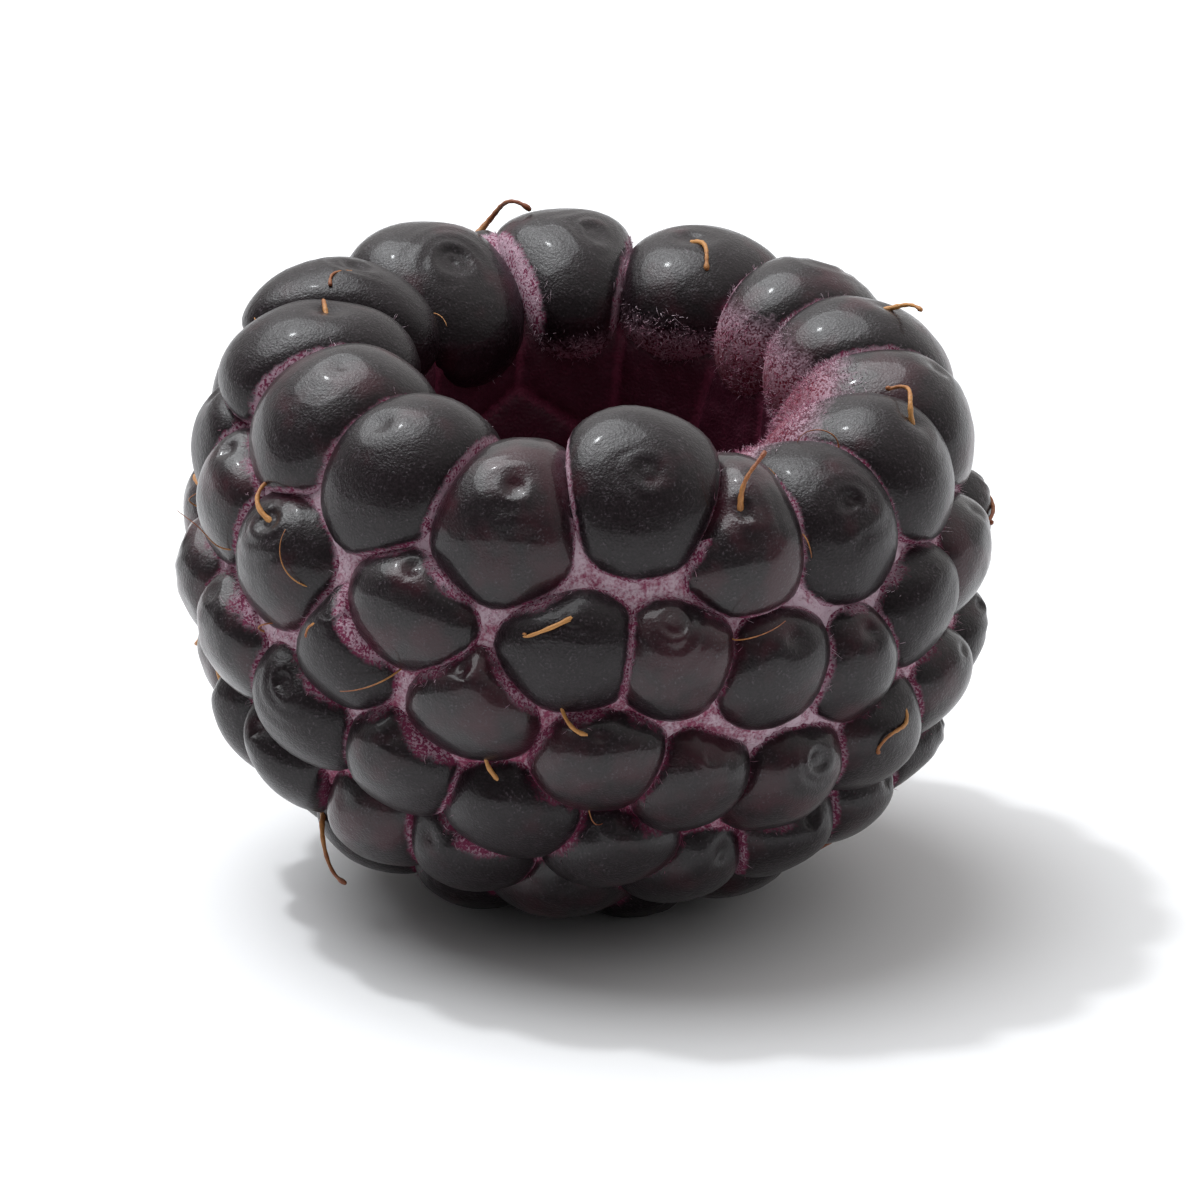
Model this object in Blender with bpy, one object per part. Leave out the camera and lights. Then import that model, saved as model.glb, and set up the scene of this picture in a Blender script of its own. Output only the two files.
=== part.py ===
"""A picked black raspberry: one hollow cap of fused drupelets, resting on its tip with its mouth up.

The first drupelets stand in a ring on the rim of the hollow, and the others follow the spiral that
they grow in, down to the tip. Their crowns lie on one round envelope, and their roots run in to the
wall of the hollow that the berry's plug was pulled out of. They are joined with that wall in one
solid, which is then bent over, as a soft berry leans. Metres, +Z up, and the side that the berry
shows best faces -Y.
"""

import math

import bmesh
import bpy
import numpy as np
from mathutils import Matrix, Vector

# The envelope of the crowns, in the berry's own frame: the axis is +Z and the widest ring is at z = 0.
EQUATOR_RADIUS = 0.00800
CREST_RADIUS = 0.00570  # of the ring along the top of the rim
CREST_HEIGHT = 0.00490
TIP_DEPTH = 0.00685

# The hollow: a rounded pit under the rim.
NECK_RADIUS = 0.00392
NECK_HEIGHT = 0.00260
PIT_DEPTH = 0.00590  # from the neck to the bottom
PIT_ROUNDNESS = 2.6  # the exponent of its outline, where 2 is an ellipse
SEAM_DEPTH = 0.00095  # from the crowns to the flesh between them

# Where the drupelets stand.
DRUPELET_COUNT = 98
RIM_COUNT = 14  # the first of them, which stand in one ring on the rim
GOLDEN_ANGLE = math.pi * (3 - math.sqrt(5))
FIRST_TURN = math.radians(15.8)
CROWN_SPACING = 0.00278
MERIDIAN_STRETCH = 1.30  # how much longer than wide a drupelet's place is, along the berry
SIZE_SPREAD = 0.14
RIM_RING = math.radians(78.0)  # how far round to the crest the rim's drupelets stand
RIM_ROLL = math.radians(27.2)  # how much further in than that they are rolled on one side
RIM_ROLL_TURN = math.radians(116.5)
RIM_UNEVENNESS = math.radians(15.0)
RIM_FACING = 0.75  # the share by which the rim's drupelets turn from their roots' line to the envelope's
HIGHEST = math.radians(86.3)  # as far round to the crest as the others can come
SETTLE_STEPS = 60
SETTLE_SHARE = 0.22
RIM_PULL = 0.000011  # how far each step draws the drupelets towards the rim
SEED = 60

# One drupelet.
HALF_WIDTH = 0.00166
HALF_LENGTH = 0.00184
CROWN_FLATNESS = 2.35  # the exponent of its outline, where 2 is an ellipse
REACH_LIMITS = (0.00135, 0.00215)  # half of its size along its own axis
ROOT_COVER = 0.00060  # the flesh between the hollow and the roots of all but the rim's drupelets

# How the berry lies.
LEAN = math.radians(6.0)  # of the rim
LEAN_TOWARDS = math.radians(-37.0)  # a turn about +Z from +X
FLAT_DEPTH = 0.00028  # how far the lowest crowns are pressed flat

# How finely it is faceted.
DRUPELET_SIDES = 10
DRUPELET_RINGS = 8
WALL_SIDES = 36
WALL_STEPS = 11
RIM_STEPS = 4
PIT_STEPS = 9
SHARP_ANGLE = math.radians(50.0)


def envelope(t):
    """Radius and height on the crowns' envelope, with t from -pi/2 at the tip to pi/2 on the crest."""
    low = np.minimum(t, 0.0)
    high = np.maximum(t, 0.0)
    radius = np.where(
        t < 0,
        EQUATOR_RADIUS * np.cos(low),
        CREST_RADIUS + (EQUATOR_RADIUS - CREST_RADIUS) * np.cos(high),
    )
    height = np.where(t < 0, TIP_DEPTH * np.sin(low), CREST_HEIGHT * np.sin(high))
    return radius, height


def envelope_slope(t):
    """The unit vector along the envelope's outline towards the rim, as radius and height."""
    wide = np.where(t < 0, EQUATOR_RADIUS, EQUATOR_RADIUS - CREST_RADIUS)
    tall = np.where(t < 0, TIP_DEPTH, CREST_HEIGHT)
    radius, height = -wide * np.sin(t), tall * np.cos(t)
    size = np.hypot(radius, height)
    return radius / size, height / size


def on_ring(turn, radius, height):
    """Points at a turn about the axis, as an array of rows x, y, z."""
    return np.stack([radius * np.cos(turn), radius * np.sin(turn), height], axis=-1)


def back_to_envelope(points):
    """The turn and t of the places on the envelope that these points stand over."""
    radius = np.hypot(points[:, 0], points[:, 1])
    height = points[:, 2]
    below = np.arctan2(height / TIP_DEPTH, radius / EQUATOR_RADIUS)
    above = np.arctan2(
        height / CREST_HEIGHT, (radius - CREST_RADIUS) / (EQUATOR_RADIUS - CREST_RADIUS)
    )
    t = np.where(height < 0, below, above)
    return np.arctan2(points[:, 1], points[:, 0]), np.minimum(t, HIGHEST)


def area_share():
    """Samples of t from the rim to the tip, and the share of the envelope's area above each."""
    t = np.linspace(HIGHEST, -math.pi / 2, 400)
    radius, height = envelope(t)
    strip = np.hypot(np.diff(radius), np.diff(height)) * (radius[1:] + radius[:-1])
    share = np.concatenate([[0.0], np.cumsum(strip)])
    return t, share / share[-1]


def rim_ring(turn):
    """The t that the rim's drupelets have at a turn about the axis."""
    return RIM_RING + RIM_ROLL * np.cos(turn - RIM_ROLL_TURN)


def settled_crowns():
    """The turn, t and size of each drupelet: a spiral of equal areas, settled until none crowds another.

    The rim's drupelets only turn about the axis as they settle, and roll in or out with that turn.
    """
    rng = np.random.default_rng(SEED)
    count = np.arange(DRUPELET_COUNT)
    samples, share = area_share()
    turn = FIRST_TURN + count * GOLDEN_ANGLE
    t = np.interp((count + 0.5) / DRUPELET_COUNT, share, samples)
    size = 1 + SIZE_SPREAD * rng.uniform(-1, 1, DRUPELET_COUNT)
    uneven = RIM_UNEVENNESS * (rng.random(DRUPELET_COUNT) - 0.5)
    spacing = CROWN_SPACING * (size[:, None] + size[None, :]) / 2
    itself = np.eye(DRUPELET_COUNT)
    for _ in range(SETTLE_STEPS):
        t = np.where(count < RIM_COUNT, rim_ring(turn) + uneven, t)
        points = on_ring(turn, *envelope(t))
        along = on_ring(turn, *envelope_slope(t))
        away = points[:, None] - points[None, :]
        lengthwise = np.einsum("ijk,ik->ij", away, along)
        shrink = 1 - 1 / MERIDIAN_STRETCH
        away = away - shrink * lengthwise[:, :, None] * along[:, None, :]
        distance = np.linalg.norm(away, axis=2) + itself
        push = np.clip(spacing / distance - 1, 0, 1) * (1 - itself)
        points = points + SETTLE_SHARE * (push[:, :, None] * away).sum(axis=1)
        points = points + RIM_PULL * along
        turn, t = back_to_envelope(points)
    return turn, np.where(count < RIM_COUNT, rim_ring(turn) + uneven, t), size


def pit_outline(share):
    """Radius and height on the hollow's wall, with share from 0 at the neck to 1 at the bottom."""
    angle = share * math.pi / 2
    power = 2 / PIT_ROUNDNESS
    radius = NECK_RADIUS * np.abs(np.cos(angle)) ** power
    return radius, NECK_HEIGHT - PIT_DEPTH * np.abs(np.sin(angle)) ** power


def drupelet_mesh():
    """A unit drupelet along +Z: a round body whose outline is a little squarer than a circle."""
    bm = bmesh.new()
    bmesh.ops.create_uvsphere(
        bm, u_segments=DRUPELET_SIDES, v_segments=DRUPELET_RINGS, radius=1
    )
    for vertex in bm.verts:
        across = math.hypot(vertex.co.x, vertex.co.y)
        size = (across**CROWN_FLATNESS + abs(vertex.co.z) ** CROWN_FLATNESS) ** (
            1 / CROWN_FLATNESS
        )
        vertex.co /= size
    mesh = bpy.data.meshes.new("drupelet")
    bm.to_mesh(mesh)
    bm.free()
    return mesh


def drupelet_matrix(crown, root, outward, cover, size, spin):
    """Stands a unit drupelet on its crown, along the line from its root on the hollow's wall.

    The outward vector is added to that line, and the drupelet ends short of the root by the cover.
    """
    axis = ((crown - root).normalized() + outward).normalized()
    reach = ((crown - root).length - cover) / 2
    reach = min(max(reach, REACH_LIMITS[0]), REACH_LIMITS[1])
    across = Vector((-crown.y, crown.x, 0.0)).normalized()
    along = axis.cross(across).normalized()
    across = along.cross(axis)
    stand = Matrix((across, along, axis)).transposed().to_4x4()
    stand.translation = crown - reach * axis
    scale = Matrix.Diagonal((HALF_WIDTH * size, HALF_LENGTH * size, reach, 1.0))
    return stand @ scale @ Matrix.Rotation(spin, 4, "Z")


def make_drupelets(collection):
    """One object for each drupelet, in the collection that the wall is joined with."""
    mesh = drupelet_mesh()
    turns, ts, sizes = settled_crowns()
    samples, share = area_share()
    crowns = on_ring(turns, *envelope(ts))
    roots = on_ring(turns, *pit_outline(np.interp(-ts, -samples, share)))
    slope_radius, slope_height = envelope_slope(ts)
    normals = on_ring(turns, slope_height, -slope_radius)
    for number, size in enumerate(sizes):
        on_rim = number < RIM_COUNT
        outward = Vector(normals[number]) * (RIM_FACING / (1 - RIM_FACING) if on_rim else 0.0)
        cover = 0.0 if on_rim else ROOT_COVER
        crown, root = Vector(crowns[number]), Vector(roots[number])
        copy = mesh.copy()
        copy.transform(drupelet_matrix(crown, root, outward, cover, size, number * GOLDEN_ANGLE))
        collection.objects.link(bpy.data.objects.new(f"drupelet_{number:02d}", copy))


def wall_outline():
    """The wall's outline from the tip's outside, over the rim and down to the bottom of the hollow."""
    t = np.linspace(-math.pi / 2, math.pi / 2, WALL_STEPS)
    radius, height = envelope(t)
    along_radius, along_height = envelope_slope(t)
    outside = np.stack(
        [radius - SEAM_DEPTH * along_height, height + SEAM_DEPTH * along_radius], axis=1
    )
    angle = np.linspace(0, math.pi / 2, RIM_STEPS + 1)[1:]
    top = outside[-1]
    rim = np.stack(
        [
            top[0] - (top[0] - NECK_RADIUS) * np.sin(angle),
            NECK_HEIGHT + (top[1] - NECK_HEIGHT) * np.cos(angle),
        ],
        axis=1,
    )
    inside = np.stack(pit_outline(np.linspace(0, 1, PIT_STEPS)[1:]), axis=1)
    return np.concatenate([outside, rim, inside])


def make_wall():
    """The flesh that the drupelets stand on: a turned cup, open at the top."""
    bm = bmesh.new()
    outline = wall_outline()
    outline[[0, -1], 0] = 0.0
    verts = [bm.verts.new((radius, 0.0, height)) for radius, height in outline]
    edges = [bm.edges.new(pair) for pair in zip(verts, verts[1:])]
    bmesh.ops.spin(
        bm,
        geom=verts + edges,
        axis=(0, 0, 1),
        cent=(0, 0, 0),
        angle=2 * math.pi,
        steps=WALL_SIDES,
        use_merge=True,
    )
    bmesh.ops.remove_doubles(bm, verts=bm.verts, dist=1e-6)
    bmesh.ops.recalc_face_normals(bm, faces=bm.faces)
    mesh = bpy.data.meshes.new("berry")
    bm.to_mesh(mesh)
    bm.free()
    return bpy.data.objects.new("berry", mesh)


def join_with(obj, collection):
    """Joins the collection's objects into obj, and removes them."""
    join = obj.modifiers.new("join drupelets", "BOOLEAN")
    join.operation = "UNION"
    join.solver = "EXACT"
    join.operand_type = "COLLECTION"
    join.collection = collection
    bpy.context.view_layer.update()
    graph = bpy.context.evaluated_depsgraph_get()
    joined = bpy.data.meshes.new_from_object(obj.evaluated_get(graph))
    obj.modifiers.clear()
    obj.data = joined
    joined.name = obj.name
    for part in list(collection.objects):
        bpy.data.objects.remove(part)
    bpy.data.collections.remove(collection)


def leaned(points):
    """The points of the berry bent over: the tip stays, and the tilt grows with height up to the rim's."""
    share = np.clip((points[:, 2] + TIP_DEPTH) / (TIP_DEPTH + CREST_HEIGHT), 0, 1)
    angle = LEAN * share
    towards = np.array((math.cos(LEAN_TOWARDS), math.sin(LEAN_TOWARDS), 0.0))
    along = points @ towards
    height = points[:, 2]
    moved = along * np.cos(angle) + height * np.sin(angle)
    bent = points + (moved - along)[:, None] * towards
    bent[:, 2] = height * np.cos(angle) - along * np.sin(angle)
    return bent


def lay_down(obj):
    """Bends the berry over, presses its lowest crowns flat and sets them on z = 0."""
    corners = leaned(np.array([vertex.co for vertex in obj.data.vertices]))
    obj.data.vertices.foreach_set("co", corners.ravel())
    low, high = corners.min(axis=0), corners.max(axis=0)
    middle = (low + high) / 2
    rest = low[2] + FLAT_DEPTH
    bm = bmesh.new()
    bm.from_mesh(obj.data)
    bmesh.ops.bisect_plane(
        bm,
        geom=bm.verts[:] + bm.edges[:] + bm.faces[:],
        plane_co=(0, 0, rest),
        plane_no=(0, 0, -1),
        clear_outer=True,
    )
    open_edges = [edge for edge in bm.edges if edge.is_boundary]
    bmesh.ops.holes_fill(bm, edges=open_edges, sides=0)
    bmesh.ops.recalc_face_normals(bm, faces=bm.faces)
    bmesh.ops.translate(bm, verts=bm.verts, vec=(-middle[0], -middle[1], -rest))
    bm.to_mesh(obj.data)
    bm.free()


def keep_largest_shell(mesh):
    """Keeps only the largest shell: pockets that the union sealed are filled, and scraps are dropped."""
    bm = bmesh.new()
    bm.from_mesh(mesh)
    unseen = set(bm.faces)
    shells = []
    while unseen:
        shell = [unseen.pop()]
        for face in shell:
            near = {other for edge in face.edges for other in edge.link_faces}
            shell.extend(near & unseen)
            unseen -= near
        shells.append(shell)
    shells.sort(key=len)
    for shell in shells[:-1]:
        bmesh.ops.delete(bm, geom=shell, context="FACES")
    bm.to_mesh(mesh)
    bm.free()


def berry_skin():
    """Near-black purple skin, with a soft gloss."""
    material = bpy.data.materials.new("berry_skin")
    material.use_nodes = True
    shader = material.node_tree.nodes["Principled BSDF"]
    shader.inputs["Base Color"].default_value = (0.022, 0.009, 0.018, 1.0)
    shader.inputs["Roughness"].default_value = 0.38
    shader.inputs["Metallic"].default_value = 0.0
    return material


def main():
    for obj in list(bpy.data.objects):
        bpy.data.objects.remove(obj)
    collection = bpy.data.collections.new("drupelets")
    bpy.context.scene.collection.children.link(collection)
    make_drupelets(collection)
    berry = make_wall()
    bpy.context.scene.collection.objects.link(berry)
    join_with(berry, collection)
    lay_down(berry)
    keep_largest_shell(berry.data)
    berry.data.materials.clear()
    berry.data.materials.append(berry_skin())
    berry.data.shade_smooth()
    berry.data.set_sharp_from_angle(angle=SHARP_ANGLE)


main()
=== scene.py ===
# %% [markdown]
# # A picked black raspberry
#
# A black raspberry looks like one fruit and is really a crowd of them. Each bead on it, a drupelet, is
# a small fruit with its own skin and its own seed, and they grow pressed together round a soft plug.
# When the berry is picked the plug stays behind on the plant, so what lies on the table is a hollow
# cap with its mouth up.
#
# The lesson follows the berry from the plan to the bloom on its skin: where the drupelets stand, how
# they press each other into shape, what shows in the seams and in the hollow, and then the hairs and
# the dried threads. Every surface is a formula on a grid of numbers.

# %% Load the frame
import math

import bpy
import numpy as np
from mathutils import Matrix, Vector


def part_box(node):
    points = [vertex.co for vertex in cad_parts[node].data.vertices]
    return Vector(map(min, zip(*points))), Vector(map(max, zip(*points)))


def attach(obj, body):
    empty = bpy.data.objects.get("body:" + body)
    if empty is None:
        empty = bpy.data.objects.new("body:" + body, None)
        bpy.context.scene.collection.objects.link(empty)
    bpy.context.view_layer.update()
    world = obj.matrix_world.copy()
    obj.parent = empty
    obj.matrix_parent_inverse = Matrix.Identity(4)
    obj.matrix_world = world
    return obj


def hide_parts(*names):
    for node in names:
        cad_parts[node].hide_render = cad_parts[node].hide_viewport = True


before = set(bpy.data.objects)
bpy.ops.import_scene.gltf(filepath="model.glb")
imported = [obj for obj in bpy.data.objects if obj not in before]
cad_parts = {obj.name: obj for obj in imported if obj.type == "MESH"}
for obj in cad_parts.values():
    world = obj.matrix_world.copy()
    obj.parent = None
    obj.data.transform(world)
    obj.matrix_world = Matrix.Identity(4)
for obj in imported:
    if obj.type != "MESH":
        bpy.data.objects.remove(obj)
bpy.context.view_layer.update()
berry_low, berry_high = (np.array(corner) * 1000.0 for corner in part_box("berry"))
MM = 0.001
print("the solid berry is", (berry_high - berry_low).round(1), "mm across, deep and tall")

# %% [markdown]
# ## The camera
#
# A long lens keeps the berry's round shape free of the swell that a wide lens gives. This camera is
# 300 mm away, takes in only 23.5 mm and looks down by 20 degrees, enough to see over the rim and into
# the hollow. A picture of width w at distance d needs a lens of sensor * d / w.

# %% Set the camera
CAMERA_DISTANCE = 300.0
PICTURE_WIDTH = 23.5
CAMERA_ELEVATION = math.radians(20.0)
SENSOR_WIDTH = 36.0
AIM_OFFSET = np.array([0.3, 0.0, -0.5])

aim = (berry_low + berry_high) / 2 + AIM_OFFSET
towards_camera = np.array([0.0, -math.cos(CAMERA_ELEVATION), math.sin(CAMERA_ELEVATION)])
camera = bpy.data.objects.new("camera", bpy.data.cameras.new("camera"))
camera.location = (aim + CAMERA_DISTANCE * towards_camera) * MM
camera.rotation_euler = (math.pi / 2 - CAMERA_ELEVATION, 0.0, 0.0)
camera.data.sensor_width = SENSOR_WIDTH
camera.data.lens = SENSOR_WIDTH * CAMERA_DISTANCE / PICTURE_WIDTH
camera.data.clip_start = 0.01
bpy.context.scene.collection.objects.link(camera)
bpy.context.scene.camera = camera
print("the lens is", round(camera.data.lens), "mm long")

# %% [markdown]
# ## Where the drupelets stand
#
# The crowns of the drupelets, their outermost points, all lie on one smooth outline. Below the widest
# ring it is a quarter of an ellipse down to the tip, and above it a quarter of a smaller one up to the
# crest of the rim. One number t says how far round that outline a point is: -90 degrees at the tip, 0
# on the widest ring and 90 on the crest. Past 90 it rolls over into the mouth.

# %% The outline of the crowns
EQUATOR_RADIUS = 8.00
CREST_RADIUS = 5.70
CREST_HEIGHT = 4.90
TIP_DEPTH = 6.85


def envelope(t):
    """Radius and height at t: each quarter is a centre plus half-widths times cos t and sin t."""
    upper_radius = CREST_RADIUS + (EQUATOR_RADIUS - CREST_RADIUS) * np.cos(t)
    radius = np.where(t < 0, EQUATOR_RADIUS * np.cos(t), upper_radius)
    return radius, np.where(t < 0, TIP_DEPTH, CREST_HEIGHT) * np.sin(t)


def envelope_slope(t):
    """The unit step along the outline towards the rim: the derivative of envelope(t), made length 1."""
    wide = np.where(t < 0, EQUATOR_RADIUS, EQUATOR_RADIUS - CREST_RADIUS)
    tall = np.where(t < 0, TIP_DEPTH, CREST_HEIGHT)
    radius, height = -wide * np.sin(t), tall * np.cos(t)
    size = np.hypot(radius, height)
    return radius / size, height / size


def on_ring(turn, radius, height):
    """Points x, y, z at a turn about the axis: radius * cos turn, radius * sin turn, height."""
    return np.stack([radius * np.cos(turn), radius * np.sin(turn), height + 0 * turn], axis=-1)


print("the widest ring is", 2 * EQUATOR_RADIUS, "mm across, the crest", 2 * CREST_RADIUS, "mm")

# %% [markdown]
# Plants set each new bud a golden angle round from the last, about 137.5 degrees, because no whole
# number of such turns ever comes back to where it began. So the drupelets are dealt out the same way,
# from the rim down, each taking an equal share of the surface. The first of them stand in one ring on
# the rim. Then all are nudged apart, step by step, until none crowds another. Growing fruit does that
# too, and it turns a perfect lattice into a natural one. The nudge measures distances with the length
# along the berry shrunk, which leaves each drupelet a place that is longer than it is wide.

# %% Deal out the drupelets and let them settle
DRUPELET_COUNT = 98
RIM_COUNT = 14
GOLDEN_ANGLE = math.pi * (3 - math.sqrt(5))
FIRST_TURN = math.radians(15.8)
PROFILE_SAMPLES = 400
CROWN_SPACING = 2.78
MERIDIAN_STRETCH = 1.30
SIZE_SPREAD = 0.14
RIM_RING = math.radians(78.0)
RIM_ROLL = math.radians(27.2)
RIM_ROLL_TURN = math.radians(116.5)
RIM_UNEVENNESS = math.radians(15.0)
HIGHEST = math.radians(86.3)
SETTLE_STEPS = 60
SETTLE_SHARE = 0.22
RIM_PULL = 0.011
SEED = 60


def back_to_envelope(points):
    """The turn and t under each point: angles from the axis and from the centre of its quarter."""
    radius = np.hypot(points[:, 0], points[:, 1])
    height = points[:, 2]
    below = np.arctan2(height / TIP_DEPTH, radius / EQUATOR_RADIUS)
    above = np.arctan2(
        height / CREST_HEIGHT, (radius - CREST_RADIUS) / (EQUATOR_RADIUS - CREST_RADIUS)
    )
    t = np.where(height < 0, below, above)
    return np.arctan2(points[:, 1], points[:, 0]), np.minimum(t, HIGHEST)


def area_share():
    """Samples of t from the rim down, and the share of the area above each: strips of 2 pi r summed."""
    t = np.linspace(HIGHEST, -math.pi / 2, PROFILE_SAMPLES)
    radius, height = envelope(t)
    strip = np.hypot(np.diff(radius), np.diff(height)) * (radius[1:] + radius[:-1])
    share = np.concatenate([[0.0], np.cumsum(strip)])
    return t, share / share[-1]


def rim_ring(turn):
    """The t of the rim's ring at a turn: it rolls further into the mouth towards one side."""
    return RIM_RING + RIM_ROLL * np.cos(turn - RIM_ROLL_TURN)


def settled_crowns():
    """Turn, t and size of each drupelet: a golden-angle spiral, pushed apart where it is too close."""
    rng = np.random.default_rng(SEED)
    count = np.arange(DRUPELET_COUNT)
    samples, share = area_share()
    turn = FIRST_TURN + count * GOLDEN_ANGLE
    t = np.interp((count + 0.5) / DRUPELET_COUNT, share, samples)
    size = 1 + SIZE_SPREAD * rng.uniform(-1, 1, DRUPELET_COUNT)
    uneven = RIM_UNEVENNESS * (rng.random(DRUPELET_COUNT) - 0.5)
    spacing = CROWN_SPACING * (size[:, None] + size[None, :]) / 2
    itself = np.eye(DRUPELET_COUNT)
    for _ in range(SETTLE_STEPS):
        t = np.where(count < RIM_COUNT, rim_ring(turn) + uneven, t)
        points = on_ring(turn, *envelope(t))
        along = on_ring(turn, *envelope_slope(t))
        away = points[:, None] - points[None, :]
        lengthwise = np.einsum("ijk,ik->ij", away, along)
        shrink = 1 - 1 / MERIDIAN_STRETCH
        away = away - shrink * lengthwise[:, :, None] * along[:, None, :]
        distance = np.linalg.norm(away, axis=2) + itself
        push = np.clip(spacing / distance - 1, 0, 1) * (1 - itself)
        points = points + SETTLE_SHARE * (push[:, :, None] * away).sum(axis=1) + RIM_PULL * along
        turn, t = back_to_envelope(points)
    return turn, np.where(count < RIM_COUNT, rim_ring(turn) + uneven, t), size


turns, ts, sizes = settled_crowns()
crowns = on_ring(turns, *envelope(ts))
print(len(crowns), "drupelets,", int((ts > 0).sum()), "of them above the widest ring")

# %% [markdown]
# Each drupelet grew out of the plug, so its root is on the wall of the hollow that the plug left. The
# hollow is a rounded pit: a superellipse, squarer than an ellipse, turned about the axis. A line from
# root to crown is the drupelet's own axis.

# %% Find each drupelet's root and axis
NECK_RADIUS = 3.92
NECK_HEIGHT = 2.60
PIT_DEPTH = 5.90
PIT_ROUNDNESS = 2.6
REACH_LIMITS = (1.35, 2.15)
ROOT_COVER = 0.60
RIM_FACING = 0.75
TILE_TILT = 0.10


def pit_outline(share):
    """Radius and height on the pit's wall: cos and sin of the angle, to the power 2 / roundness."""
    angle = share * math.pi / 2
    power = 2 / PIT_ROUNDNESS
    radius = NECK_RADIUS * np.abs(np.cos(angle)) ** power
    return radius, NECK_HEIGHT - PIT_DEPTH * np.abs(np.sin(angle)) ** power


def unit(vectors):
    """Vectors divided by their own lengths."""
    return vectors / np.linalg.norm(vectors, axis=-1, keepdims=True)


def dot(first, second):
    """The products of the components, summed."""
    return (first * second).sum(axis=-1)


samples, share = area_share()
roots = on_ring(turns, *pit_outline(np.interp(-ts, -samples, share)))
on_rim = np.arange(DRUPELET_COUNT) < RIM_COUNT
slope_radius, slope_height = envelope_slope(ts)
facing = on_ring(turns, slope_height, -slope_radius)
axes = unit(crowns - roots)
axes = np.where(on_rim[:, None], unit((1 - RIM_FACING) * axes + RIM_FACING * facing), axes)
reach = (np.linalg.norm(crowns - roots, axis=1) - np.where(on_rim, 0.0, ROOT_COVER)) / 2
reach = np.clip(reach, *REACH_LIMITS)
across = unit(np.stack([-crowns[:, 1], crowns[:, 0], 0 * turns], axis=1))
axes = unit(axes - np.where(on_rim, 0.0, TILE_TILT)[:, None] * np.cross(axes, across))
along = unit(np.cross(axes, across))
across = np.cross(along, axes)
centres = crowns - reach[:, None] * axes
print("the drupelets are", (2 * reach.min()).round(1), "to", (2 * reach.max()).round(1), "mm deep")

# %% [markdown]
# ## How they press each other
#
# A drupelet on its own would be an egg. Packed with others, each is flattened where it meets a
# neighbour, as soap bubbles are, and round only where it is free. There is a plane between each pair,
# halfway between the bodies, and a spoke drawn from the drupelet's centre may go no further than the
# first plane it meets. Taking the plain minimum would leave sharp edges. The rounded minimum below, the
# sum of the high powers of 1 / length, leaves soft ones, as full skins have.
#
# The planes are tilted a little, so that the lower edge of each drupelet hangs over the one beneath it
# like a tile. That is why a berry's drupelets look round below and tucked in above. A slow noise widens
# some of the seams, where the pale felt shows as a web.

# %% The planes between neighbours
NEIGHBOURS = 12
BODY_DEPTH = 1.20
FURTHEST_NEIGHBOUR = 4.20
OVERHANG = 0.15
OVERHANG_TILT = 0.42
OVERHANG_SPREAD = 1.6
SEAM_GAP = -0.36
SEAM_GAP_SPREAD = 0.29
GAP_PATCH = 7.0
MOST_GAP_SHARE = 1.2
NO_PLANE = 1000.0
WAVE_COUNT = 14
WAVE_SPREAD = (0.7, 1.4)


def waves(points, length, seed):
    """Smooth noise from -1 to 1 or so: sines along random directions, each about length mm long."""
    rng = np.random.default_rng(seed)
    rays = unit(rng.normal(size=(WAVE_COUNT, 3))) * rng.uniform(*WAVE_SPREAD, (WAVE_COUNT, 1))
    phase = rng.uniform(0, 2 * math.pi, WAVE_COUNT)
    return np.sin(points @ rays.T * 2 * math.pi / length + phase).sum(axis=-1) / math.sqrt(WAVE_COUNT)


bodies = crowns - BODY_DEPTH * axes
distance = np.linalg.norm(bodies[:, None] - bodies[None, :], axis=2)
near = np.argsort(distance, axis=1)[:, 1 : NEIGHBOURS + 1]
to_neighbour = bodies[near] - bodies[:, None]
halfway = sizes[:, None] / (sizes[:, None] + sizes[near])
outward = unit(axes[:, None] + axes[near])
lengthwise = unit(along[:, None] + along[near])
is_above = np.clip(-OVERHANG_SPREAD * dot(unit(to_neighbour), lengthwise), -1, 1)
plane_points = bodies[:, None] + to_neighbour * halfway[..., None]
plane_points = plane_points + OVERHANG * is_above[..., None] * unit(to_neighbour)
plane_normals = unit(unit(to_neighbour) - OVERHANG_TILT * is_above[..., None] * outward)
gaps = waves(plane_points, GAP_PATCH, seed=5)
gaps = SEAM_GAP + SEAM_GAP_SPREAD * np.clip(gaps, 0, MOST_GAP_SHARE)
room = dot(plane_points - centres[:, None], plane_normals) - gaps / 2
room = np.where(np.take_along_axis(distance, near, axis=1) > FURTHEST_NEIGHBOUR, NO_PLANE, room)
print("the gaps in the seams are", gaps.min().round(2), "to", gaps.max().round(2), "mm wide")

# %% [markdown]
# The skin is a ball of spokes. Its rows run from the crown down to the root, closest together at the
# crown, where the skin is seen best, and its columns go round. How wide the ball is in each direction
# depends on the room there: it is measured to the planes, smoothed round, and made larger by a fullness,
# so that every drupelet meets its neighbours at the same depth, big or small. The rim's drupelets are
# tucked in on the side of the mouth, and those that have rolled into it on the other.

# %% Press the balls against the planes
ROWS = 40
COLUMNS = 44
ROW_CROWDING = 1.35
SOFTNESS = 8.0
ROOM_DEPTH = 0.40
ROOM_WAVES = 3
ROOM_LIMITS = (0.50, 1.50)
RIM_TUCK = 0.22
TUCK_SPAN = math.radians(25.0)
TUCK_LIMITS = (-0.6, 1.0)
FULLNESS = 1.30


def turns_round(count):
    """Turns evenly spaced all the way round: 2 pi * number / count."""
    return 2 * math.pi * np.arange(count) / count


def circle(turns, first, second):
    """Directions all round, from two square to each other: cos turn * first + sin turn * second."""
    return np.cos(turns)[:, None] * first[..., None, :] + np.sin(turns)[:, None] * second[..., None, :]


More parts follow.
